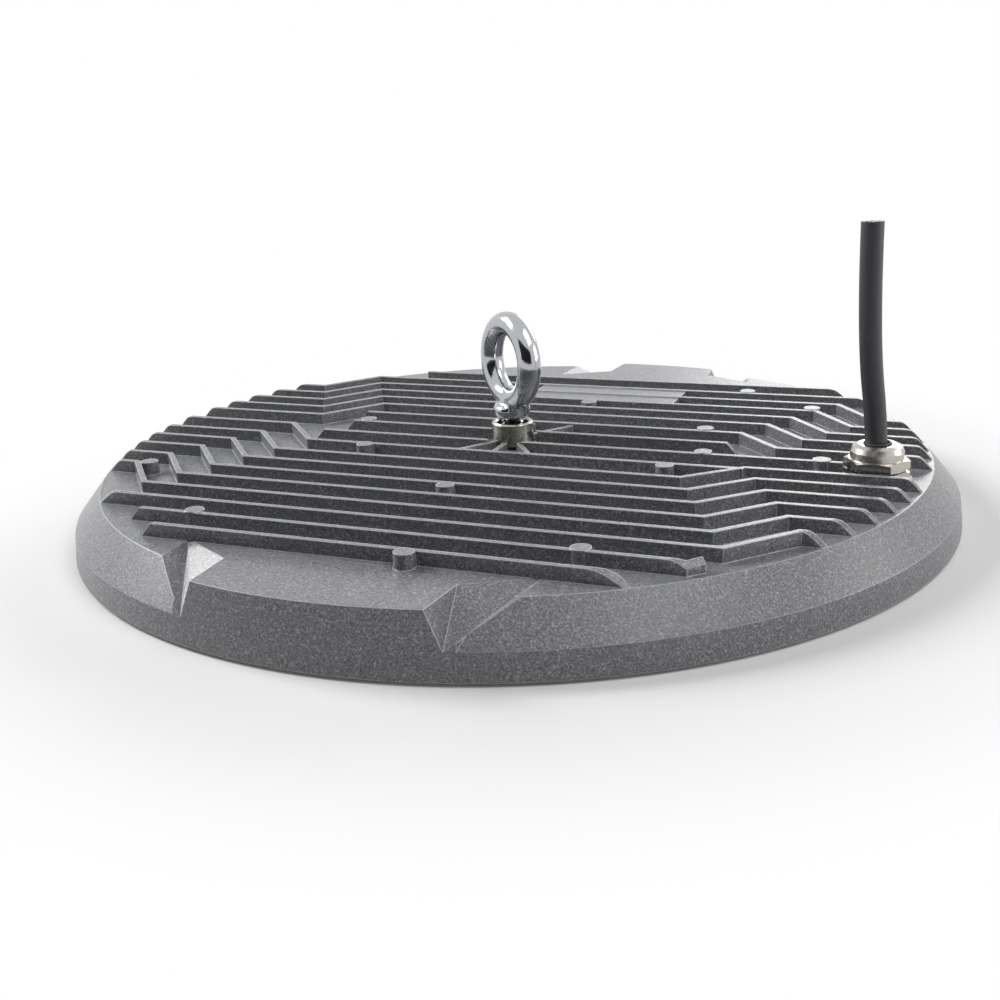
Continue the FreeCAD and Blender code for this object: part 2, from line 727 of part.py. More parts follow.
def gland():
    """Cable gland: threaded body, dome nut, rubber insert, clamp ring, seal and lock nut."""
    stub_end = "gland_seat - gland_stub"
    stem = at_gland(turned("gland_stem", (
        ("gland_bore_radius", stub_end), ("gland_thread_radius - 0.5", stub_end),
        ("gland_thread_radius", f"{stub_end} + 0.5"), ("gland_thread_radius", "gland_seat"),
        ("gland_thread_radius", "gland_neck"), ("gland_neck_radius", "gland_neck"),
        ("gland_neck_radius", "gland_neck + gland_neck_height"),
        ("gland_bore_radius", "gland_neck + gland_neck_height"))))
    blank = hexagon("gland_hex", "gland_flats", "gland_seat", "gland_hex_height", "gland_reach",
                    "gland_side")
    chamfer = at_gland(turned("gland_hex_round", (
        ("gland_bore_radius", "gland_seat"), ("gland_corner", "gland_seat"),
        ("gland_corner", "gland_neck - 0.6"),
        ("gland_flats / 2", "gland_neck"), ("gland_bore_radius", "gland_neck"))))
    hexed = common("gland_hex_turned", [blank, chamfer])
    keep(fused("gland_body_turning", [stem, hexed]), "gland_body")

    profile = at_gland(turned("dome_profile", (
        ("gland_neck_radius", "dome_base"), ("gland_flats / 2", "dome_base"),
        ("gland_corner", "dome_base + 0.6"),
        ("gland_corner", "dome_shoulder - 0.6"),
        ("gland_flats / 2", "dome_shoulder"), ("dome_radius", "dome_shoulder + 0.1"),
        ("dome_radius", "dome_top - dome_round"),
        ("dome_radius - dome_round * 0.3", "dome_top - dome_round * 0.3"),
        ("dome_radius - dome_round", "dome_top"), ("dome_hole_radius + 0.4", "dome_top"),
        ("dome_hole_radius", "dome_top - 0.4"), ("dome_hole_radius", "dome_top - 1.6"),
        ("gland_neck_radius", "dome_top - 3.4"))))
    hexes = hexagon("dome_hex", "gland_flats", "dome_base", "dome_hex_height", "gland_reach",
                    "gland_side")
    upper = cylinder("dome_upper", "gland_flats / 2", "dome_shoulder", "dome_height * 2",
                     "gland_reach", "gland_side")
    keep(common("dome_nut_turning", [profile, fused("dome_stock", [hexes, upper])]),
         "gland_dome_nut")

    neck_top = "gland_neck + gland_neck_height"
    keep(at_gland(ring("insert_ring", "cord_radius", "gland_bore_radius", "gland_seat",
                       "gland_hex_height + gland_neck_height")), "gland_insert")
    keep(at_gland(ring("clamp_ring_turning", "cord_radius + fit", "gland_neck_radius - gap",
                       neck_top, "1.2")), "gland_clamp_ring")
    keep(at_gland(ring("gland_seal_ring", "gland_thread_radius + fit",
                       "gland_flats / 2 - gap", "hub_top", "seal_thickness")), "gland_seal")
    nut = hexagon("lock_nut_blank", "lock_nut_flats", "ceiling - lock_nut_height",
                  "lock_nut_height", "gland_reach", "gland_side")
    bore = at_gland(cylinder("lock_nut_bore", "gland_thread_radius", "ceiling - 10", "20"))
    keep(cut("lock_nut_cut", nut, bore), "gland_lock_nut")


# ---------------------------------------------------------------- cord and wires

def rounded_path(points):
    """Straight runs joined by tangent arcs, and the radii of the arcs."""
    edges, radii = [], []
    start = points[0]
    for i in range(1, len(points) - 1):
        before = (points[i - 1] - points[i])
        after = (points[i + 1] - points[i])
        short = min(before.Length, after.Length)
        before.normalize()
        after.normalize()
        half = (math.pi - before.getAngle(after)) / 2
        trim = 0.45 * short
        radii.append(trim / math.tan(half))
        first = points[i] + before * trim
        last = points[i] + after * trim
        inward = (before + after).normalize()
        sagitta = radii[-1] * (1 / math.cos(half) - 1)
        edges.append(Part.LineSegment(start, first).toShape())
        edges.append(Part.Arc(first, points[i] + inward * sagitta, last).toShape())
        start = last
    edges.append(Part.LineSegment(start, points[-1]).toShape())
    return Part.Wire(edges), radii


def tube(name, label, points, radius):
    """Round tube swept along a path of runs and arcs."""
    wire, radii = rounded_path(points)
    heading = (points[1] - points[0]).normalize()
    section = Part.Wire(Part.makeCircle(radius, points[0], heading))
    solid = wire.makePipeShell([section], True, False)
    if abs(solid.Volume - math.pi * radius ** 2 * wire.Length) > 0.01 * solid.Volume:
        raise ValueError(f"{label}: the tube's volume is off")
    print(label, "radii", [round(value, 1) for value in radii], "length", round(wire.Length, 1))
    feature = doc.addObject("Part::Feature", name)
    feature.Shape = solid
    keep(feature, label)


def supply_cord():
    foot = FreeCAD.Vector(size("gland_reach"), size("gland_side"), size("gland_seat"))
    points = [foot + FreeCAD.Vector(*point) for point in CORD_ROUTE]
    tube("cord_tube", "supply_cord", points, size("cord_radius"))


def wires():
    """Three wires from the cord's end to the terminal block."""
    reach = size("gland_reach")
    top = size("gland_seat") + CORD_ROUTE[0][2]
    level = size("board_face - block_height / 2")
    bend = size("wire_bend")
    stop = size("gland_reach - board_notch_radius - block_gap - block_entry_depth + 1")
    for number, name in enumerate(("live_wire", "earth_wire", "neutral_wire")):
        y = size("gland_side") + (number - 1) * size("wire_spacing")
        points = [FreeCAD.Vector(reach, y, top), FreeCAD.Vector(reach, y, level),
                  FreeCAD.Vector(stop, y, level)]
        quarter = [Part.LineSegment(points[0], points[1] + FreeCAD.Vector(0, 0, bend)).toShape()] \
            if top - level > bend + 0.01 else []
        middle = math.sqrt(0.5)
        quarter.append(Part.Arc(points[1] + FreeCAD.Vector(0, 0, bend),
                                points[1] + FreeCAD.Vector(-bend * (1 - middle), 0,
                                                           bend * (1 - middle)),
                                points[1] + FreeCAD.Vector(-bend, 0, 0)).toShape())
        quarter.append(Part.LineSegment(points[1] + FreeCAD.Vector(-bend, 0, 0),
                                        points[2]).toShape())
        wire = Part.Wire(quarter)
        start = FreeCAD.Vector(reach, y, quarter[0].Vertexes[0].Z)
        section = Part.Wire(Part.makeCircle(size("wire_radius"), start, FreeCAD.Vector(0, 0, -1)))
        feature = doc.addObject("Part::Feature", name + "_tube")
        feature.Shape = wire.makePipeShell([section], True, False)
        keep(feature, name)


# ---------------------------------------------------------------- light engine

def board_screw_places():
    return (circle_places("board_screw_circle", OUTER_BOARD_SCREWS, 22.5)
            + circle_places("board_inner_circle", INNER_BOARD_SCREWS, 45.0))


def board_cutouts(name, base, height):
    cutouts = [cylinder(name + "_bore", "board_bore_radius", base, height),
               at_gland(cylinder(name + "_notch", "board_notch_radius", base, height)),
               box(name + "_mouth", "board_notch_radius * 2", "board_notch_radius * 2", height,
                   "gland_reach", "gland_side - board_notch_radius", base)]
    for number, (x, y) in enumerate(board_screw_places()):
        cutouts.append(cylinder(f"{name}_screw_hole_{number}", "screw_radius + 0.2", base, height,
                                x, y))
    return fused(name + "_cutouts", cutouts)


def led_board():
    """Aluminium-core board with its thermal pad."""
    for label, base, height in (("led_board", "board_face", "board_thickness"),
                                ("thermal_pad", "board_top", "pad_thickness")):
        disc = cylinder(label + "_disc", "board_radius", base, height)
        keep(cut(label + "_cut", disc, board_cutouts(label, base, height)), label)


def leds():
    """Light-emitting diodes in rings on the board's face."""
    half = size("led_size / 2")
    gland_x, gland_y = size("gland_reach"), size("gland_side")
    clear = size("board_notch_radius") + 4.0
    chips = []
    for ring_size, count in LED_RINGS:
        radius = size(ring_size)
        for i in range(count):
            angle = 2 * math.pi * (i + 0.5) / count
            x = radius * math.cos(angle)
            y = radius * math.sin(angle)
            if math.hypot(x - gland_x, y - gland_y) < clear:
                continue
            chips.append(box(f"led_{len(chips)}", "led_size", "led_size", "led_height",
                             f"{x - half:.4f}", f"{y - half:.4f}",
                             "board_face - led_height"))
    keep(compound("led_group", chips), "leds")


def pan_screw(name, head_base, shank, x, y):
    """Pan-head screw that points up."""
    head = cylinder(name + "_head", "screw_head_radius", head_base, "screw_head_height", x, y)
    body = cylinder(name + "_shank", "screw_radius", f"{head_base} + screw_head_height", shank,
                    x, y)
    return fused(name, [head, body])


def board_screws():
    base = "board_face - screw_head_height"
    screws = [pan_screw(f"board_screw_{number}", base, "board_thickness + pad_thickness + 1.8",
                        x, y) for number, (x, y) in enumerate(board_screw_places())]
    keep(compound("board_screw_group", screws), "board_screws")


def terminal_block():
    """Push-in block with three wire entries on the side of the gland."""
    face = "gland_reach - board_notch_radius - block_gap"
    blank = box("block_blank", "block_length", "block_width", "block_height",
                f"{face} - block_length", "gland_side - block_width / 2",
                "board_face - block_height")
    entries = []
    for number in (-1, 0, 1):
        entry = doc.addObject("Part::Cylinder", f"block_entry_{number + 1}")
        bind(entry, "Radius", "wire_radius + fit")
        bind(entry, "Height", "block_entry_depth + 1")
        place = FreeCAD.Vector(size(f"{face} - block_entry_depth"),
                               size(f"gland_side + {number} * wire_spacing"),
                               size("board_face - block_height / 2"))
        entry.Placement = FreeCAD.Placement(place, FreeCAD.Rotation(FreeCAD.Vector(0, 1, 0), 90))
        entries.append(entry)
    keep(cut("block_cut", blank, fused("block_entries", entries)), "terminal_block")


def driver():
    """Driver on the board: rectifier, chips, varistor, fuse and capacitor under a cover."""
    under = "board_face - cover_height"
    inside = "board_face - cover_height + cover_wall"
    keep(turned("cover_moulding", (
        ("cover_bore_radius", under), ("cover_radius - 0.6", under),
        ("cover_radius", f"{under} + 0.6"), ("cover_radius", "board_face"),
        ("cover_radius - cover_wall", "board_face"), ("cover_radius - cover_wall", inside),
        ("cover_bore_radius + cover_wall", inside),
        ("cover_bore_radius + cover_wall", "board_face"), ("cover_bore_radius", "board_face"))),
        "driver_cover")
    keep(box("rectifier_block", "rectifier_length", "rectifier_width", "rectifier_height",
             "driver_circle - rectifier_length / 2", "0 - rectifier_width / 2",
             "board_face - rectifier_height"), "bridge_rectifier")
    chips = []
    for number, angle in enumerate(DRIVER_CHIPS):
        x, y = circle_places("driver_circle", 1, angle)[0]
        chips.append(box(f"driver_chip_{number}", "chip_length", "chip_width", "chip_height",
                         f"{x} - chip_length / 2", f"{y} - chip_width / 2",
                         "board_face - chip_height"))
    keep(compound("driver_chip_group", chips), "driver_chips")
    keep(cylinder("varistor_disc", "varistor_radius", "board_face - varistor_height",
                  "varistor_height", "0 - driver_circle", "varistor_side"), "surge_varistor")
    fuse = doc.addObject("Part::Cylinder", "fuse_barrel")
    bind(fuse, "Radius", "fuse_radius")
    bind(fuse, "Height", "fuse_length")
    fuse.Placement = FreeCAD.Placement(
        FreeCAD.Vector(size("0 - driver_circle - fuse_length / 2"), size("0 - varistor_side"),
                       size("board_face - fuse_radius")),
        FreeCAD.Rotation(FreeCAD.Vector(0, 1, 0), 90))
    keep(fuse, "fuse")
    keep(box("capacitor_block", "capacitor_length", "capacitor_width", "capacitor_height",
             "0 - driver_circle - capacitor_length / 2", "0 - capacitor_width / 2",
             "board_face - capacitor_height"), "input_capacitor")


# ---------------------------------------------------------------- lens stack

def lens_stack():
    """Lens, its gasket, the ring that holds it and the ring's screws."""
    places = circle_places("lens_screw_circle", LENS_SCREWS, 15.0)
    lens_edge = "seat_radius - gap"
    for label, inner, base, height in (
            ("lens", None, "lens_base", "lens_thickness"),
            ("lens_frame", "seat_radius - gap - frame_width", "frame_base", "frame_thickness")):
        if inner is None:
            blank = cylinder(label + "_blank", lens_edge, base, height)
        else:
            blank = ring(label + "_blank", inner, lens_edge, base, height)
        holes = [cylinder(f"{label}_hole_{number}", "screw_radius + gap", base, height, x, y)
                 for number, (x, y) in enumerate(places)]
        keep(cut(label + "_cut", blank, fused(label + "_holes", holes)), label)
    keep(ring("gasket_ring", "cavity_radius + gasket_inset",
              "cavity_radius + gasket_inset + gasket_width", "lens_top", "gasket_thickness"),
         "lens_gasket")
    head_base = "frame_base - screw_head_height"
    shank = "frame_thickness + lens_thickness + gasket_thickness + 4.4"
    screws = [pan_screw(f"lens_screw_{number}", head_base, shank, x, y)
              for number, (x, y) in enumerate(places)]
    keep(compound("lens_screw_group", screws), "lens_screws")


housing()
eye_bolt_socket()
eye_bolt()
hub_fixings()
gland()
supply_cord()
wires()
led_board()
leds()
board_screws()
terminal_block()
driver()
lens_stack()
doc.recompute()

for thing in doc.Objects:
    if "Invalid" in thing.State or "Error" in thing.State:
        raise ValueError(f"{thing.Label} failed: {thing.State}")

os.makedirs("parts", exist_ok=True)
for name, thing in PARTS:
    if thing.Shape.isNull() or not thing.Shape.isValid():
        raise ValueError(f"{name} has no valid shape")
    print(f"{name}: {len(thing.Shape.Solids)} solid(s), {thing.Shape.Volume / 1000:.2f} cm3")
    thing.Shape.exportStep(f"parts/{name}.step")
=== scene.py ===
"""High bay light: finishes, small fittings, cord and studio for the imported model."""

import json
import logging
import math
from dataclasses import dataclass, field
from enum import Enum
from typing import Any

import bmesh
import bpy
from mathutils import Matrix, Vector

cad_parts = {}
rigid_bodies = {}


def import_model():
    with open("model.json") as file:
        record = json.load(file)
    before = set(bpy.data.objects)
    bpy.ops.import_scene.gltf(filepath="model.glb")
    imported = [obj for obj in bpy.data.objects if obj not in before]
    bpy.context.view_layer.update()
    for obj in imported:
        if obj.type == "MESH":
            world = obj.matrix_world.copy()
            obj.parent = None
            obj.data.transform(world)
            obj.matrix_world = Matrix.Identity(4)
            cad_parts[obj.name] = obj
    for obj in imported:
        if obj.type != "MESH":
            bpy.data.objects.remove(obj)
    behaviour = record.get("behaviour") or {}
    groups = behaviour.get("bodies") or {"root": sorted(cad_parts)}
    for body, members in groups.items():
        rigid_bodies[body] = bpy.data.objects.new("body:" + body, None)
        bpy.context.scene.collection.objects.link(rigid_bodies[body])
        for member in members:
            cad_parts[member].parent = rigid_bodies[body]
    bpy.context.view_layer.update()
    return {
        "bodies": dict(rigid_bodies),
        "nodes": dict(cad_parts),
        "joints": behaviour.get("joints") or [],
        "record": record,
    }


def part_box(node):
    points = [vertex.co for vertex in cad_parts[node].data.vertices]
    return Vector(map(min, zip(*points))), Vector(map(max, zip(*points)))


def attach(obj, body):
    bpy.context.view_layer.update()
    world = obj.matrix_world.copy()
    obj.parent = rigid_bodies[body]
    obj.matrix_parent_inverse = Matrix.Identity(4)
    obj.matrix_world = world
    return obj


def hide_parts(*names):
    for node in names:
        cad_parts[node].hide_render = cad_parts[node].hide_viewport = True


LOG = logging.getLogger("high_bay_light")
MM = 0.001
WELD = 1e-6
ORIGIN = (0.0, 0.0, 0.0)
ALONG_Y = (0.0, 1.0, 0.0)
ALONG_Z = (0.0, 0.0, 1.0)
WHITE = (1.0, 1.0, 1.0, 1.0)


# ------------------------------------------------------------------ colours and nodes

def linear(hex_code: str) -> tuple[float, float, float, float]:
    """Turn an sRGB hex code into a linear colour.

    Args:
        hex_code: Six hex digits, such as "7a7c80".

    Returns:
        The linear red, green, blue and an alpha of 1.
    """
    channels = [int(hex_code[i:i + 2], 16) / 255.0 for i in (0, 2, 4)]
    bright = [c / 12.92 if c <= 0.04045 else ((c + 0.055) / 1.055) ** 2.4 for c in channels]
    return bright[0], bright[1], bright[2], 1.0


def grain(size_mm: float) -> float:
    """Return the texture scale whose features measure size_mm on the object."""
    return 1.0 / (size_mm * MM)


def add_node(tree: bpy.types.NodeTree, kind: str, settings: dict[str, Any] | None = None,
             links: dict[str, Any] | None = None) -> bpy.types.Node:
    """Add a node, set its properties, and fill or link its sockets.

    Args:
        tree: The node tree that takes the node.
        kind: The node's type.
        settings: Properties of the node by name.
        links: Sockets by name or index, each with a value or another node's output.

    Returns:
        The new node.
    """
    node = tree.nodes.new(kind)
    for name, value in (settings or {}).items():
        setattr(node, name, value)
    for name, value in (links or {}).items():
        if isinstance(value, bpy.types.NodeSocket):
            tree.links.new(value, node.inputs[name])
        else:
            node.inputs[name].default_value = value
    return node


def blank_material(name: str) -> tuple[bpy.types.Material, bpy.types.NodeTree]:
    """Return a new material with an empty node tree."""
    material = bpy.data.materials.new(name)
    material.use_nodes = True
    material.node_tree.nodes.clear()
    return material, material.node_tree


def finish_shader(tree: bpy.types.NodeTree, shader: bpy.types.Node) -> None:
    """Link a shader to a new material output."""
    add_node(tree, "ShaderNodeOutputMaterial", {}, {"Surface": shader.outputs[0]})


def object_place(tree: bpy.types.NodeTree) -> bpy.types.NodeSocket:
    """Return the position on the object, which every pattern is laid out by."""
    return add_node(tree, "ShaderNodeTexCoord").outputs["Object"]


def noise(tree: bpy.types.NodeTree, place: bpy.types.NodeSocket, size_mm: float,
          detail: float, **more: float) -> bpy.types.NodeSocket:
    """Add a noise pattern whose features have a real size.

    Args:
        tree: The node tree that takes the pattern.
        place: The position that it is laid out by.
        size_mm: The size of its features on the object.
        detail: How many finer layers it has.
        more: Other sockets of the noise node by name.

    Returns:
        The pattern, from 0 to 1.
    """
    links = {"Vector": place, "Scale": grain(size_mm), "Detail": detail, **more}
    return add_node(tree, "ShaderNodeTexNoise", {}, links).outputs["Fac"]


def spread(tree: bpy.types.NodeTree, value: bpy.types.NodeSocket,
           source: tuple[float, float], target: tuple[float, float] = (0.0, 1.0),
           settings: dict[str, Any] | None = None) -> bpy.types.NodeSocket:
    """Map a value from one range to another and hold it there.

    Args:
        tree: The node tree that takes the node.
        value: The value to map.
        source: The range that it comes from.
        target: The range that it goes to.
        settings: Properties of the node by name.

    Returns:
        The mapped value.
    """
    links = {"Value": value, "From Min": source[0], "From Max": source[1],
             "To Min": target[0], "To Max": target[1]}
    return add_node(tree, "ShaderNodeMapRange", settings, links).outputs["Result"]


def mix_colour(tree: bpy.types.NodeTree, factor: bpy.types.NodeSocket, low: Any,
               high: Any) -> bpy.types.NodeSocket:
    """Mix two colours.

    Args:
        tree: The node tree that takes the node.
        factor: How much of the second colour shows.
        low: The first colour, or a node's output.
        high: The second colour, or a node's output.

    Returns:
        The mixed colour.
    """
    return add_node(tree, "ShaderNodeMix", {"data_type": "RGBA"},
                    {"Factor": factor, 6: low, 7: high}).outputs[2]


def bumped(tree: bpy.types.NodeTree, height: bpy.types.NodeSocket, strength: float,
           depth_mm: float, **more: Any) -> bpy.types.NodeSocket:
    """Return a normal that follows a height pattern.

    Args:
        tree: The node tree that takes the node.
        height: The height pattern.
        strength: How much of the pattern shows.
        depth_mm: The depth of the pattern on the object.
        more: Other sockets of the bump node by name.

    Returns:
        The bumped normal.
    """
    links = {"Strength": strength, "Distance": depth_mm * MM, "Height": height, **more}
    return add_node(tree, "ShaderNodeBump", {}, links).outputs["Normal"]


# ------------------------------------------------------------------ finishes

@dataclass(frozen=True)
class PowderCoat:
    """Sanded polyester powder coat on die-cast aluminium: baked, slightly metallic, gritty.

    The grit scatters small light and dark specks, and sharp edges carry a painted highlight:
    fine pale lines mixed into the colour where the rounded normal parts from the flat one.
    """

    name: str = "sanded_powder_coat"
    body_hex: str = "818285"
    dark_hex: str = "4e4f52"
    fleck_hex: str = "c4c5c7"
    # colour of the painted highlight along sharp edges
    painted_highlight_hex: str = "eeeff0"
    grit_mm: float = 0.55
    fleck_mm: float = 0.75
    edge_mm: float = 0.5
    roughness: float = 0.33
    grit_range: tuple[float, float] = (0.36, 0.60)
    fleck_range: tuple[float, float] = (0.54, 0.68)
    fleck_share: float = 0.6
    # mask range and strength of the painted highlight along sharp edges
    painted_highlight_range: tuple[float, float] = (0.992, 0.90)
    painted_highlight_share: float = 0.8
    bump: float = 0.35
    bump_mm: float = 0.12

    def build(self) -> bpy.types.Material:
        """Build the material."""
        material, tree = blank_material(self.name)
        place = object_place(tree)
        grit = noise(tree, place, self.grit_mm, 3.0, Roughness=0.65)
        flecks = noise(tree, place, self.fleck_mm, 2.0, Roughness=0.7)
        base = mix_colour(tree, spread(tree, grit, self.grit_range),
                          linear(self.dark_hex), linear(self.body_hex))
        sparkle = spread(tree, flecks, self.fleck_range, (0.0, self.fleck_share))
        specked = mix_colour(tree, sparkle, base, linear(self.fleck_hex))
        rounded = add_node(tree, "ShaderNodeBevel", {"samples": 6},
                           {"Radius": self.edge_mm * MM}).outputs["Normal"]
        flat = add_node(tree, "ShaderNodeNewGeometry").outputs["Normal"]
        alike = add_node(tree, "ShaderNodeVectorMath", {"operation": "DOT_PRODUCT"},
                         {0: rounded, 1: flat}).outputs["Value"]
        # painted highlight: a pale colour mixed in along sharp edges, where the bevelled normal
        # parts from the flat one
        edge = spread(tree, alike, self.painted_highlight_range, (0.0, self.painted_highlight_share))
        colour = mix_colour(tree, edge, specked, linear(self.painted_highlight_hex))
        normal = bumped(tree, grit, self.bump, self.bump_mm, Normal=rounded)
        shader = add_node(tree, "ShaderNodeBsdfPrincipled", {},
                          {"Base Color": colour, "Roughness": self.roughness,
                           "Metallic": 0.0, "Normal": normal})
        finish_shader(tree, shader)
        return material


@dataclass(frozen=True)
class PlatedMetal:
    """Electroplated metal: forged or turned, then plated, with faint waviness and wear."""

    name: str
    tone_hex: str
    roughness: float
    wave_mm: float = 2.4
    wave_strength: float = 0.12
    turned: bool = False
    smooth_share: float = 0.7
    worn_share: float = 1.4
    wave_range: tuple[float, float] = (0.3, 0.7)
    bump_mm: float = 0.15
    ring_mm: float = 1.6

    def build(self) -> bpy.types.Material:
        """Build the material."""
        material, tree = blank_material(self.name)
        place = object_place(tree)
        wave = noise(tree, place, self.wave_mm, 4.0)
        smear = spread(tree, wave, self.wave_range,
                       (self.roughness * self.smooth_share, self.roughness * self.worn_share))
        height = wave
        if self.turned:
            rings = add_node(tree, "ShaderNodeTexWave",
                             {"wave_type": "BANDS", "bands_direction": "Z"},
                             {"Vector": place, "Scale": grain(self.ring_mm),
                              "Distortion": 0.4})
            height = add_node(tree, "ShaderNodeMath", {"operation": "ADD"},
                              {0: wave, 1: rings.outputs["Fac"]}).outputs[0]
        shader = add_node(tree, "ShaderNodeBsdfPrincipled", {},
                          {"Base Color": linear(self.tone_hex), "Metallic": 1.0,
                           "Roughness": smear,
                           "Normal": bumped(tree, height, self.wave_strength, self.bump_mm)})
        finish_shader(tree, shader)
        return material


@dataclass(frozen=True)
class Moulded:
    """Moulded plastic or rubber: a fine moulded grain with slight mottling of its colour."""

    name: str
    tone_hex: str
    shade_hex: str
    roughness: float
    grain_mm: float = 0.8
    bump: float = 0.15
    bump_mm: float = 0.1
    mottle_ratio: float = 6.0

    def build(self) -> bpy.types.Material:
        """Build the material."""
        material, tree = blank_material(self.name)
        place = object_place(tree)
        mottle = noise(tree, place, self.grain_mm * self.mottle_ratio, 3.0)
        colour = mix_colour(tree, mottle, linear(self.shade_hex), linear(self.tone_hex))
        skin = noise(tree, place, self.grain_mm, 2.0)
        shader = add_node(tree, "ShaderNodeBsdfPrincipled", {},
                          {"Base Color": colour, "Roughness": self.roughness,
                           "Normal": bumped(tree, skin, self.bump, self.bump_mm)})
        finish_shader(tree, shader)
        return material


@dataclass(frozen=True)
class FrostedLens:
    """Injection-moulded polycarbonate, milky, with a fine texture that spreads the light."""

    name: str = "frosted_polycarbonate"
    tone_hex: str = "eef0f1"
    grain_mm: float = 0.9
    roughness: float = 0.42
    refraction: float = 1.58
    clearness: float = 0.35
    bump: float = 0.2
    bump_mm: float = 0.1

    def build(self) -> bpy.types.Material:
        """Build the material."""
        material, tree = blank_material(self.name)
        frost = noise(tree, object_place(tree), self.grain_mm, 2.0)
        shader = add_node(tree, "ShaderNodeBsdfPrincipled", {},
                          {"Base Color": linear(self.tone_hex), "Roughness": self.roughness,
                           "IOR": self.refraction, "Transmission Weight": self.clearness,
                           "Normal": bumped(tree, frost, self.bump, self.bump_mm)})
        finish_shader(tree, shader)
        return material


class Finish(Enum):
    """The finishes of this light."""

    COAT = PowderCoat()
    CHROME = PlatedMetal("bright_chrome_plate", "b4b6b9", 0.11, wave_mm=3.4, wave_strength=0.5)
    NICKEL = PlatedMetal("satin_nickel_plate", "b7b3ad", 0.24, wave_strength=0.08)
    TURNED = PlatedMetal("turned_nickel_steel", "a9a6a0", 0.26, wave_strength=0.10, turned=True)
    ZINC = PlatedMetal("zinc_plate", "b4b6ba", 0.34)
    SHEATH = Moulded("rubber_sheath", "37383b", "2b2c2f", 0.46, grain_mm=0.5, bump=0.12)
    SEAL = Moulded("black_seal_rubber", "1b1b1c", "141415", 0.60)
    BLACK = Moulded("black_nylon", "202022", "18181a", 0.45)
    WHITE = Moulded("white_nylon", "e9e8e4", "dddcd8", 0.42)
    MASK = Moulded("white_solder_mask", "f0f1ee", "e2e4e1", 0.35, grain_mm=1.5)
    SHEET = Moulded("silicone_sheet", "9aa0a8", "868c94", 0.7)
    SILICONE = Moulded("clear_silicone", "d8d9d8", "c6c8c7", 0.5)
    COPPER = PlatedMetal("bare_copper", "d98a5c", 0.30)
    PHOSPHOR = Moulded("phosphor_resin", "f0c54a", "e0b038", 0.3, grain_mm=0.4)
    EPOXY = Moulded("blue_epoxy", "2457a8", "1d4a92", 0.3)
    CERAMIC = Moulded("glazed_ceramic", "e0dccd", "d2cdbd", 0.25)
    BROWN = Moulded("brown_insulation", "6b3d1f", "5c331a", 0.4)
    GREEN = Moulded("green_insulation", "7f9f2a", "6d8a22", 0.4)
    BLUE = Moulded("blue_insulation", "2b56b4", "244a9c", 0.4)
    LENS = FrostedLens()


class Dresser:
    """Builds each finish once and puts it on nodes and pieces."""

    def __init__(self) -> None:
        """Start with no material made."""
        self._made: dict[Finish, bpy.types.Material] = {}

    def material(self, finish: Finish) -> bpy.types.Material:
        """Return the material of a finish, built on first use."""
        if finish not in self._made:
            self._made[finish] = finish.value.build()
        return self._made[finish]

    def dress(self, thing: bpy.types.Object, finish: Finish) -> None:
        """Give an object one finish all over.

        Args:
            thing: The node's object or the new piece.
            finish: The finish that it takes.
        """
        thing.data.materials.clear()
        thing.data.materials.append(self.material(finish))
        LOG.info("%s takes %s", thing.name, finish.value.name)


NODE_FINISHES: dict[str, Finish] = {
    "heat_sink_housing": Finish.COAT,
    "eye_bolt": Finish.CHROME,
    "eye_bolt_socket": Finish.TURNED,
    "socket_seal": Finish.SEAL,
    "hub_washer": Finish.ZINC,
    "hub_nut": Finish.ZINC,
    "gland_body": Finish.NICKEL,
    "gland_dome_nut": Finish.NICKEL,
    "gland_insert": Finish.SEAL,
    "gland_clamp_ring": Finish.BLACK,
    "gland_seal": Finish.SEAL,
    "gland_lock_nut": Finish.NICKEL,
    "live_wire": Finish.BROWN,
    "earth_wire": Finish.GREEN,
    "neutral_wire": Finish.BLUE,
    "led_board": Finish.MASK,
    "thermal_pad": Finish.SHEET,
    "leds": Finish.PHOSPHOR,
    "board_screws": Finish.ZINC,
    "terminal_block": Finish.WHITE,
    "driver_cover": Finish.WHITE,
    "bridge_rectifier": Finish.BLACK,
    "driver_chips": Finish.BLACK,
    "surge_varistor": Finish.EPOXY,
    "fuse": Finish.CERAMIC,
    "input_capacitor": Finish.BLACK,
    "lens": Finish.LENS,
    "lens_frame": Finish.COAT,
    "lens_gasket": Finish.SILICONE,
    "lens_screws": Finish.ZINC,
}


# ------------------------------------------------------------------ pieces

def as_object(name: str, mesh_data: bmesh.types.BMesh) -> bpy.types.Object:
    """Turn a bmesh into a linked object at the origin.

    Args:
        name: The piece's name.
        mesh_data: The shape, which is freed.

    Returns:
        The new object.
    """
    bmesh.ops.recalc_face_normals(mesh_data, faces=mesh_data.faces)
    mesh = bpy.data.meshes.new(name)
    mesh_data.to_mesh(mesh)
    mesh_data.free()
    thing = bpy.data.objects.new(name, mesh)
    bpy.context.scene.collection.objects.link(thing)
    return thing


def apply_modifiers(thing: bpy.types.Object) -> None:
    """Bake an object's modifiers into its mesh."""
    graph = bpy.context.evaluated_depsgraph_get()
    graph.update()
    baked = bpy.data.meshes.new_from_object(thing.evaluated_get(graph))
    old = thing.data
    thing.modifiers.clear()
    thing.data = baked
    baked.name = thing.name
    bpy.data.meshes.remove(old)


def smooth_all(thing: bpy.types.Object) -> None:
    """Shade every face of an object smooth."""
    for polygon in thing.data.polygons:
        polygon.use_smooth = True


def full_turn(shape: bmesh.types.BMesh, axis: tuple[float, float, float], steps: int) -> None:
    """Spin a whole outline once round an axis through the origin and close its seam.

    Args:
        shape: The mesh that holds the outline and nothing else.
        axis: The axis of the turn.
        steps: Number of steps of the turn.
    """
    bmesh.ops.spin(shape, geom=shape.verts[:] + shape.edges[:], cent=ORIGIN, axis=axis,
                   dvec=ORIGIN, angle=math.tau, steps=steps, use_merge=True,
                   use_normal_flip=False, use_duplicate=False)
    bmesh.ops.remove_doubles(shape, verts=shape.verts, dist=WELD)


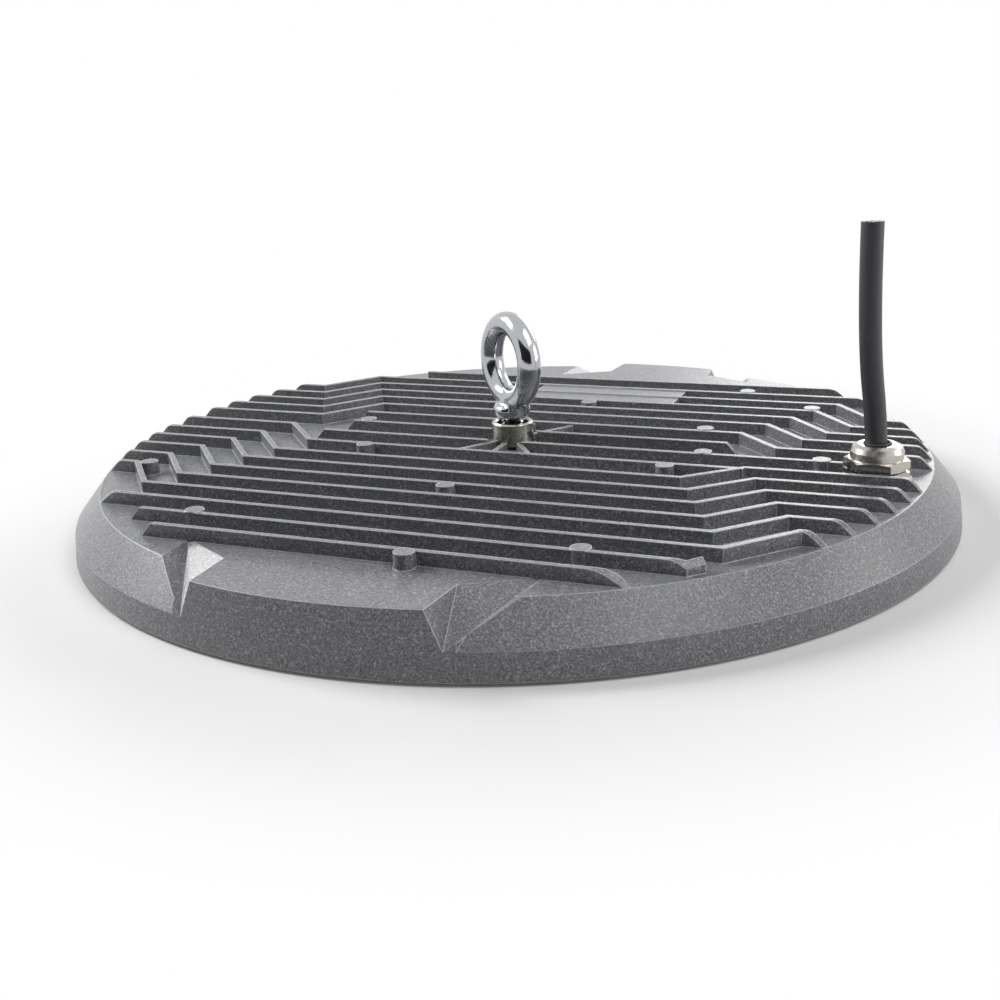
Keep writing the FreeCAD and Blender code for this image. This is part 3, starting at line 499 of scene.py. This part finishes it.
def turn_profile(shape: bmesh.types.BMesh, profile: tuple[tuple[float, float], ...],
                 steps: int = 48) -> None:
    """Turn a profile about Z into a closed solid.

    Args:
        shape: The empty mesh that takes the solid.
        profile: Radius and height pairs in metres; the first and last lie on the axis.
        steps: Number of steps of the turn.
    """
    points = [shape.verts.new((radius, 0.0, height)) for radius, height in profile]
    for pair in zip(points, points[1:]):
        shape.edges.new(pair)
    full_turn(shape, ALONG_Z, steps)


@dataclass
class EyeBolt:
    """Drop-forged lifting eye bolt: round ring, two shoulders, collar and rolled thread."""

    dresser: Dresser
    seat: float
    foot: float
    hole_radius: float = 0.010
    bar_radius: float = 0.00445
    collar_radius: float = 0.0072
    collar_height: float = 0.0054
    stem_radius: float = 0.004
    pitch: float = 0.00125
    turn: float = math.radians(-39.0)
    voxel: float = 0.00034
    # height of the neck, and of the bar above it in radii of the bar
    neck_height: float = 0.0057
    bar_lift: float = 1.35
    # rounded lumps between collar and ring: distance across, height, half sizes
    lumps: tuple[tuple[float, float, tuple[float, float, float]], ...] = (
        (-0.0047, 0.0052, (0.0031, 0.0046, 0.0040)),
        (0.0047, 0.0052, (0.0031, 0.0046, 0.0040)),
        (0.0, 0.0056, (0.0056, 0.0049, 0.0046)))
    collar_bevel: float = 0.0021
    soften_rounds: int = 30
    # thread: depth and crest as shares of the pitch, and steps in one turn
    thread_depth: float = 0.62
    crest: tuple[float, float] = (0.44, 0.56)
    thread_steps: int = 28
    thread_root: float = 0.0002
    thread_start: float = 0.0003
    tip_chamfer: float = 0.0004
    stem_overlap: float = 0.0006

    def build(self) -> None:
        """Build the forging and the threaded stem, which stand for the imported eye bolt."""
        forging = self._forging()
        stem = self._stem()
        for piece in (forging, stem):
            self.dresser.dress(piece, Finish.CHROME)
            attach(piece, "root")
            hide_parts("eye_bolt")

    def _forging(self) -> bpy.types.Object:
        """Fuse the ring, the lumps and the collar into one rounded forging."""
        centre = (self.seat + self.neck_height + self.hole_radius
                  + self.bar_radius * self.bar_lift)
        ring_radius = self.hole_radius + self.bar_radius
        shape = bmesh.new()
        bmesh.ops.create_circle(shape, segments=32, radius=self.bar_radius,
                                matrix=Matrix.Translation((ring_radius, 0.0, 0.0)))
        full_turn(shape, ALONG_Y, 96)
        low = self.seat - centre
        for across, height, size in self.lumps:
            lump = Matrix.Translation((across, 0.0, low + height)) @ Matrix.Diagonal(
                (*size, 1.0))
            bmesh.ops.create_uvsphere(shape, u_segments=32, v_segments=20, radius=1.0,
                                      matrix=lump)
        self._collar(shape, low + self.collar_height / 2)
        place = Matrix.Translation((0.0, 0.0, centre)) @ Matrix.Rotation(self.turn, 4, "Z")
        bmesh.ops.transform(shape, matrix=place, verts=shape.verts)
        piece = as_object("eye_bolt_forging", shape)
        remesh = piece.modifiers.new("forge", "REMESH")
        remesh.mode = "VOXEL"
        remesh.voxel_size = self.voxel
        soften = piece.modifiers.new("soften", "SMOOTH")
        soften.factor = 0.5
        soften.iterations = self.soften_rounds
        apply_modifiers(piece)
        smooth_all(piece)
        return piece

    def _collar(self, shape: bmesh.types.BMesh, middle: float) -> None:
        """Add the round collar, with its two edges rounded, at a height of its middle."""
        size = Matrix.Diagonal((self.collar_radius, self.collar_radius,
                                self.collar_height / 2, 1.0))
        drum = bmesh.ops.create_cone(shape, cap_ends=True, segments=64, radius1=1.0,
                                     radius2=1.0, depth=2.0,
                                     matrix=Matrix.Translation((0.0, 0.0, middle)) @ size)
        edges = [edge for edge in {e for v in drum["verts"] for e in v.link_edges}
                 if abs(edge.verts[0].co.z - edge.verts[1].co.z) < WELD]
        bmesh.ops.bevel(shape, geom=edges, offset=self.collar_bevel, offset_type="OFFSET",
                        segments=5, profile=0.5, affect="EDGES", material=-1)

    def _stem(self) -> bpy.types.Object:
        """Build the core with its chamfered end, and a helical ridge as far as the collar."""
        shape = bmesh.new()
        core = self.stem_radius - self.thread_depth * self.pitch
        top = self.seat + self.stem_overlap
        turn_profile(shape, ((0.0, self.foot), (core - self.tip_chamfer, self.foot),
                             (core, self.foot + self.tip_chamfer), (core, top), (0.0, top)))
        turns = int((self.seat - self.foot) / self.pitch) - 1
        start = self.foot + self.thread_start
        root = core - self.thread_root
        corners = [shape.verts.new((radius, 0.0, start + share * self.pitch))
                   for radius, share in ((root, 0.0), (self.stem_radius, self.crest[0]),
                                         (self.stem_radius, self.crest[1]), (root, 1.0))]
        face = shape.faces.new(corners)
        bmesh.ops.spin(shape, geom=[face, *face.edges, *face.verts], cent=ORIGIN,
                       axis=ALONG_Z, dvec=(0.0, 0.0, self.pitch / self.thread_steps),
                       angle=math.tau * turns, steps=self.thread_steps * turns,
                       use_merge=False, use_normal_flip=False, use_duplicate=False)
        bmesh.ops.holes_fill(shape, edges=shape.edges, sides=0)
        return as_object("eye_bolt_stem", shape)


@dataclass
class PanScrews:
    """Zinc-plated pan-head screws with a cross recess, seen from below."""

    dresser: Dresser
    node: str
    count: int
    circle: float
    first: float
    head_base: float
    head_height: float = 0.0016
    head_radius: float = 0.00275
    shank_radius: float = 0.0015
    shank: float = 0.0094
    # face of the head: share of its radius, and height above its lowest point
    dome: tuple[tuple[float, float], ...] = (
        (0.40, 0.00004), (0.72, 0.00022), (0.93, 0.00062), (1.0, 0.00115))
    recess: tuple[float, float, float] = (0.0030, 0.00062, 0.0017)
    uneven_turn: float = 2.7

    def build(self) -> None:
        """Build one screw and repeat it round the circle, each turned its own way."""
        blank = self._screw()
        group = bmesh.new()
        for number in range(self.count):
            angle = math.radians(self.first + 360.0 * number / self.count)
            spot = Vector((self.circle * math.cos(angle), self.circle * math.sin(angle), 0.0))
            start = len(group.verts)
            group.from_mesh(blank.data)
            group.verts.ensure_lookup_table()
            place = Matrix.Translation(spot) @ Matrix.Rotation(angle * self.uneven_turn, 4, "Z")
            bmesh.ops.transform(group, matrix=place, verts=group.verts[start:])
        bpy.data.objects.remove(blank)
        piece = as_object(f"{self.node}_cross_heads", group)
        self.dresser.dress(piece, Finish.ZINC)
        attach(piece, "root")
        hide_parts(self.node)

    def _screw(self) -> bpy.types.Object:
        """Build one screw on the axis and cut the cross into its head."""
        low, high = self.head_base, self.head_base + self.head_height
        face = tuple((share * self.head_radius, low + rise) for share, rise in self.dome)
        head = bmesh.new()
        turn_profile(head, ((0.0, low), *face, (self.head_radius, high),
                            (self.shank_radius, high), (self.shank_radius, high + self.shank),
                            (0.0, high + self.shank)), steps=32)
        blank = as_object(f"{self.node}_blank", head)
        cross = bmesh.new()
        for quarter in (0.0, 90.0):
            wing = (Matrix.Translation((0.0, 0.0, low)) @ Matrix.Rotation(
                math.radians(quarter), 4, "Z") @ Matrix.Diagonal((*self.recess, 1.0)))
            bmesh.ops.create_cube(cross, size=1.0, matrix=wing)
        cutter = as_object(f"{self.node}_cross", cross)
        carve = blank.modifiers.new("recess", "BOOLEAN")
        carve.operation = "DIFFERENCE"
        carve.solver = "EXACT"
        carve.use_self = True
        carve.object = cutter
        apply_modifiers(blank)
        bpy.data.objects.remove(cutter)
        return blank


@dataclass
class SupplyCord:
    """Round rubber cord that stands out of the gland, with its cut end and a sealing lip.

    All its sizes are in millimetres.
    """

    dresser: Dresser
    gland_reach: float = 136.5
    gland_side: float = -9.0
    radius: float = 3.7
    route: tuple[tuple[float, float, float], ...] = (
        (0.0, 0.0, 16.4), (0.0, 0.0, 35.0), (-4.8, -1.9, 71.4), (-5.0, -2.0, 107.3))
    length: float = 91.2
    core_radius: float = 1.05
    core_circle: float = 1.55
    core_depth: float = 0.3
    copper_radius: float = 0.5
    copper_depth: float = 0.36
    lip_height: float = 33.6
    lip_radius: float = 0.55
    lip_gap: float = 0.45
    steps: int = 24

    def build(self) -> None:
        curve = bpy.data.curves.new("cord", "CURVE")
        curve.dimensions = "3D"
        curve.bevel_depth = self.radius * MM
        curve.bevel_resolution = 8
        curve.use_fill_caps = True
        curve.resolution_u = self.steps
        spline = curve.splines.new("NURBS")
        spline.points.add(len(self.route) - 1)
        points = [Vector((self.gland_reach + x, self.gland_side + y, z)) * MM
                  for x, y, z in self.route]
        for knot, point in zip(spline.points, points):
            knot.co = (*point, 1.0)
        spline.order_u = 3
        spline.use_endpoint_u = True
        cord = bpy.data.objects.new("cord", curve)
        bpy.context.scene.collection.objects.link(cord)
        self.dresser.dress(cord, Finish.SHEATH)
        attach(cord, "root")
        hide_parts("supply_cord")
        cores = self._cores(points[-1])
        self._lip()
        LOG.info("cord built")

    def _cores(self, end: Vector) -> list[bpy.types.Object]:
        """Build the three insulated cores and their copper on the cord's cut end."""
        cores = []
        copper = bmesh.new()
        kinds = (("cord_live_core", Finish.BROWN, "brown_wire"),
                 ("cord_earth_core", Finish.GREEN, "green_wire"),
                 ("cord_neutral_core", Finish.BLUE, "blue_wire"))
        for number, (name, finish, slot) in enumerate(kinds):
            angle = math.radians(90.0 + 120.0 * number)
            spot = end + Vector((math.cos(angle), math.sin(angle), 0.0)) * self.core_circle * MM
            core = bmesh.new()
            bmesh.ops.create_cone(core, cap_ends=True, segments=24,
                                  radius1=self.core_radius * MM, radius2=self.core_radius * MM,
                                  depth=self.core_depth * MM, matrix=Matrix.Translation(spot))
            bmesh.ops.create_cone(copper, cap_ends=True, segments=16,
                                  radius1=self.copper_radius * MM,
                                  radius2=self.copper_radius * MM,
                                  depth=self.copper_depth * MM,
                                  matrix=Matrix.Translation(spot))
            piece = as_object(name, core)
            self.dresser.dress(piece, finish)
            cores.append(piece)
        strands = as_object("cord_copper", copper)
        self.dresser.dress(strands, Finish.COPPER)
        cores.append(strands)
        for piece in cores:
            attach(piece, "root")
        return cores

    def _lip(self) -> None:
        """Build the rubber lip that stands out of the dome nut round the cord."""
        shape = bmesh.new()
        bmesh.ops.create_circle(
            shape, segments=16, radius=self.lip_radius * MM,
            matrix=Matrix.Translation(((self.radius + self.lip_gap) * MM, 0.0, 0.0))
            @ Matrix.Rotation(math.radians(90.0), 4, "X"))
        full_turn(shape, ALONG_Z, 64)
        bmesh.ops.transform(shape, verts=shape.verts, matrix=Matrix.Translation(
            (self.gland_reach * MM, self.gland_side * MM, self.lip_height * MM)))
        piece = as_object("gland_lip", shape)
        smooth_all(piece)
        self.dresser.dress(piece, Finish.SEAL)
        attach(piece, "root")


# ------------------------------------------------------------------ studio

@dataclass(frozen=True)
class Lamp:
    """One soft rectangular lamp: where it stands and its size in metres, its power in watts."""

    name: str
    place: tuple[float, float, float]
    width: float
    depth: float
    power: float


@dataclass
class Studio:
    """Pale floor, soft lamps, white surroundings and the camera.

    Lengths are in metres and the camera's angles in degrees.
    """

    floor_size: float = 6.0
    floor_hole: float = 0.161
    floor_drop: float = 0.0004
    fade_from: float = 0.178
    fade_to: float = 0.26
    ambient: float = 0.08
    from_below: float = 0.9
    horizon: tuple[float, float] = (0.0, -0.02)
    paper: float = 0.73
    glow: float = 0.08
    card: float = 0.03
    lamps: tuple[Lamp, ...] = (
        Lamp("left", (-1.09, -0.04, 0.82), 0.62, 0.56, 18.0),
        Lamp("high_right", (0.60, -0.18, 1.05), 0.7, 0.7, 6.8),
        Lamp("low_right", (1.18, 0.36, 0.36), 0.6, 0.5, 4.5),
        Lamp("behind", (0.18, 1.18, 0.50), 0.8, 0.4, 5.0))
    aim: tuple[float, float, float] = (0.0, 0.0, 0.01)
    azimuth: float = 22.16
    elevation: float = 17.56
    distance: float = 0.48230
    pan: float = 0.728
    tilt: float = 0.04
    roll: float = -2.24
    lens: float = 44.06

    def build(self) -> None:
        """Build the floor, the lamps, the surroundings and the camera."""
        self._floor()
        self._world()
        for lamp in self.lamps:
            self._lamp(lamp)
        self._flag()
        self._camera()

    def _seen(self, tree: bpy.types.NodeTree) -> bpy.types.NodeSocket:
        """Return 1 for camera, glossy and transmission rays, and 0 for the rest."""
        path = add_node(tree, "ShaderNodeLightPath")
        first = add_node(tree, "ShaderNodeMath", {"operation": "MAXIMUM"},
                         {0: path.outputs["Is Camera Ray"], 1: path.outputs["Is Glossy Ray"]})
        both = add_node(tree, "ShaderNodeMath", {"operation": "MAXIMUM"},
                        {0: first.outputs[0], 1: path.outputs["Is Transmission Ray"]})
        return both.outputs[0]

    def _floor(self) -> None:
        """Build a pale floor that turns plain white away from the object.

        It is clear from below and has a hole under the light, so the lens can be looked at.
        """
        shape = bmesh.new()
        for radius in (self.floor_size / 2, self.floor_hole):
            bmesh.ops.create_circle(shape, cap_ends=False, segments=96, radius=radius)
        bmesh.ops.bridge_loops(shape, edges=shape.edges)
        bmesh.ops.translate(shape, verts=shape.verts, vec=(0.0, 0.0, -self.floor_drop))
        floor = as_object("floor", shape)
        if floor.data.polygons[0].normal.z < 0.0:
            floor.data.flip_normals()
        material, tree = blank_material("pale_floor")
        far = add_node(tree, "ShaderNodeVectorMath", {"operation": "LENGTH"},
                       {0: object_place(tree)})
        fade = spread(tree, far.outputs["Value"], (self.fade_from, self.fade_to),
                      settings={"interpolation_type": "SMOOTHSTEP"})
        paper = add_node(tree, "ShaderNodeBsdfDiffuse", {},
                         {"Color": (self.paper, self.paper, self.paper, 1.0)})
        glow = add_node(tree, "ShaderNodeEmission", {},
                        {"Color": WHITE, "Strength": self.glow})
        lit = add_node(tree, "ShaderNodeAddShader", {},
                       {0: paper.outputs[0], 1: glow.outputs[0]})
        white = add_node(tree, "ShaderNodeEmission", {},
                         {"Color": WHITE, "Strength": 1.0})
        shown = add_node(tree, "ShaderNodeMixShader", {},
                         {0: fade, 1: lit.outputs[0], 2: white.outputs[0]})
        mixed = add_node(tree, "ShaderNodeMixShader", {},
                         {0: self._seen(tree), 1: paper.outputs[0], 2: shown.outputs[0]})
        side = add_node(tree, "ShaderNodeNewGeometry").outputs["Backfacing"]
        clear = add_node(tree, "ShaderNodeBsdfTransparent")
        open_below = add_node(tree, "ShaderNodeMixShader", {},
                              {0: side, 1: mixed.outputs[0], 2: clear.outputs[0]})
        finish_shader(tree, open_below)
        floor.data.materials.append(material)

    def _world(self) -> None:
        """Fill the surroundings with white that lights the object only a little from above.

        The part below the horizon lights the lens through the hole in the floor.
        """
        world = bpy.data.worlds.new("surroundings")
        world.use_nodes = True
        tree = world.node_tree
        tree.nodes.clear()
        heading = add_node(tree, "ShaderNodeSeparateXYZ", {}, {
            "Vector": add_node(tree, "ShaderNodeTexCoord").outputs["Generated"]})
        strength = spread(tree, heading.outputs["Z"], self.horizon,
                          (self.ambient, self.from_below))
        dim = add_node(tree, "ShaderNodeBackground", {}, {"Color": WHITE, "Strength": strength})
        white = add_node(tree, "ShaderNodeBackground", {}, {"Color": WHITE, "Strength": 1.0})
        mixed = add_node(tree, "ShaderNodeMixShader", {},
                         {0: self._seen(tree), 1: dim.outputs[0], 2: white.outputs[0]})
        add_node(tree, "ShaderNodeOutputWorld", {}, {"Surface": mixed.outputs[0]})
        bpy.context.scene.world = world

    def _lamp(self, lamp: Lamp) -> None:
        """Add one lamp that faces the object."""
        data = bpy.data.lights.new(lamp.name, "AREA")
        data.shape = "RECTANGLE"
        data.size = lamp.width
        data.size_y = lamp.depth
        data.energy = lamp.power
        thing = bpy.data.objects.new(lamp.name, data)
        thing.location = lamp.place
        aim = (Vector(self.aim) - Vector(lamp.place)).to_track_quat("-Z", "Y")
        thing.rotation_euler = aim.to_euler()
        bpy.context.scene.collection.objects.link(thing)

    def _flag(self) -> None:
        """Stand a dark card in front, which only takes light away and is never seen itself."""
        shape = bmesh.new()
        bmesh.ops.create_grid(shape, x_segments=1, y_segments=1, size=0.5,
                              matrix=Matrix.Translation((0.0, -1.1, 0.42))
                              @ Matrix.Rotation(math.radians(90.0), 4, "X")
                              @ Matrix.Diagonal((2.4, 0.8, 1.0, 1.0)))
        card = as_object("dark_card", shape)
        material, tree = blank_material("black_card")
        felt = add_node(tree, "ShaderNodeBsdfDiffuse", {},
                        {"Color": (self.card, self.card, self.card, 1.0)})
        finish_shader(tree, felt)
        card.data.materials.append(material)
        card.visible_camera = False

    def _camera(self) -> None:
        """Set the camera from its direction, distance and small turns."""
        azimuth, elevation, pan, tilt, roll = (
            math.radians(angle) for angle in (self.azimuth, self.elevation, self.pan,
                                              self.tilt, self.roll))
        back = Vector((math.sin(azimuth) * math.cos(elevation),
                       -math.cos(azimuth) * math.cos(elevation), math.sin(elevation)))
        right = Vector((math.cos(azimuth), math.sin(azimuth), 0.0))
        place = back * self.distance
        turned = back * math.cos(pan) + right * math.sin(pan)
        side = right * math.cos(pan) - back * math.sin(pan)
        rise = back.cross(right)
        facing = turned * math.cos(tilt) + rise * math.sin(tilt)
        upward = rise * math.cos(tilt) - turned * math.sin(tilt)
        across = side * math.cos(roll) + upward * math.sin(roll)
        upright = upward * math.cos(roll) - side * math.sin(roll)
        data = bpy.data.cameras.new("camera")
        data.lens = self.lens
        data.sensor_width = 36.0
        camera = bpy.data.objects.new("camera", data)
        turn = Matrix((across, upright, facing)).transposed().to_4x4()
        camera.matrix_world = Matrix.Translation(place) @ turn
        bpy.context.scene.collection.objects.link(camera)
        bpy.context.scene.camera = camera
        bpy.context.scene.view_settings.view_transform = "Standard"


# ------------------------------------------------------------------ main

@dataclass
class HighBayLight:
    """The whole light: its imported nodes, dressed, and its new pieces."""

    frame: dict[str, Any]
    dresser: Dresser = field(default_factory=Dresser)
    collar_seat: float = 0.0015
    screw_count: int = 12
    screw_circle: float = 0.1546
    screw_first: float = 15.0

    def build(self) -> None:
        """Dress each node and build each new piece."""
        for node, finish in NODE_FINISHES.items():
            self.dresser.dress(self.frame["nodes"][node], finish)
        SupplyCord(self.dresser).build()
        _, socket_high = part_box("eye_bolt_socket")
        bolt_low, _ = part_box("eye_bolt")
        EyeBolt(self.dresser, seat=socket_high[2] + self.collar_seat, foot=bolt_low[2]).build()
        screw_low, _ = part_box("lens_screws")
        PanScrews(self.dresser, "lens_screws", count=self.screw_count,
                  circle=self.screw_circle, first=self.screw_first,
                  head_base=screw_low[2]).build()
        LOG.info("light built")


def main() -> None:
    """Build the light and its studio."""
    logging.basicConfig(level=logging.INFO, format="%(message)s")
    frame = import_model()
    HighBayLight(frame).build()
    Studio().build()


if __name__ == "__main__":
    main()
